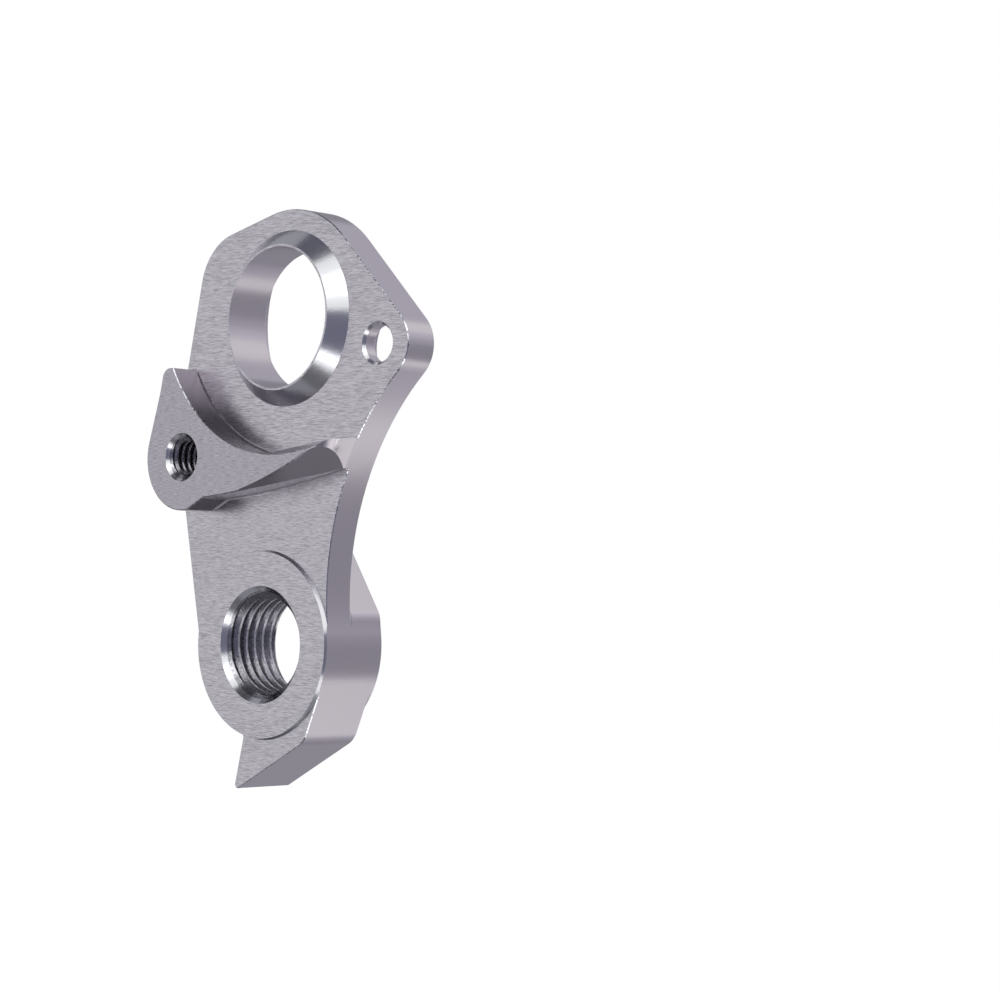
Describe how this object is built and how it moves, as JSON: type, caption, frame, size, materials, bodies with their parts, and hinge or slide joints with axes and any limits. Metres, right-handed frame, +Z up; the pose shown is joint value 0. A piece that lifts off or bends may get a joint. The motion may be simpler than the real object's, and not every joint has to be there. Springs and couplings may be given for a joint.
{
  "type": "bicycle derailleur hanger",
  "caption": "Milled aluminium bicycle derailleur hanger: stepped plate with an axle bore, a raised rib, a threaded ear, a threaded derailleur boss with a stop tail, and a screw nose.",
  "frame": {"origin": "axis of the axle bore, on the inboard face that the hub seats on", "axes": "-Y outboard, +Y inboard towards the wheel, +Z up as fitted, +X towards the countersunk screw nose"},
  "size_m": [0.0316, 0.0101, 0.0534],
  "materials": {
    "anodised_aluminium": "satin"
  },
  "bodies": {
    "root": {"hanger_body": "anodised_aluminium"}
  },
  "joints": []
}
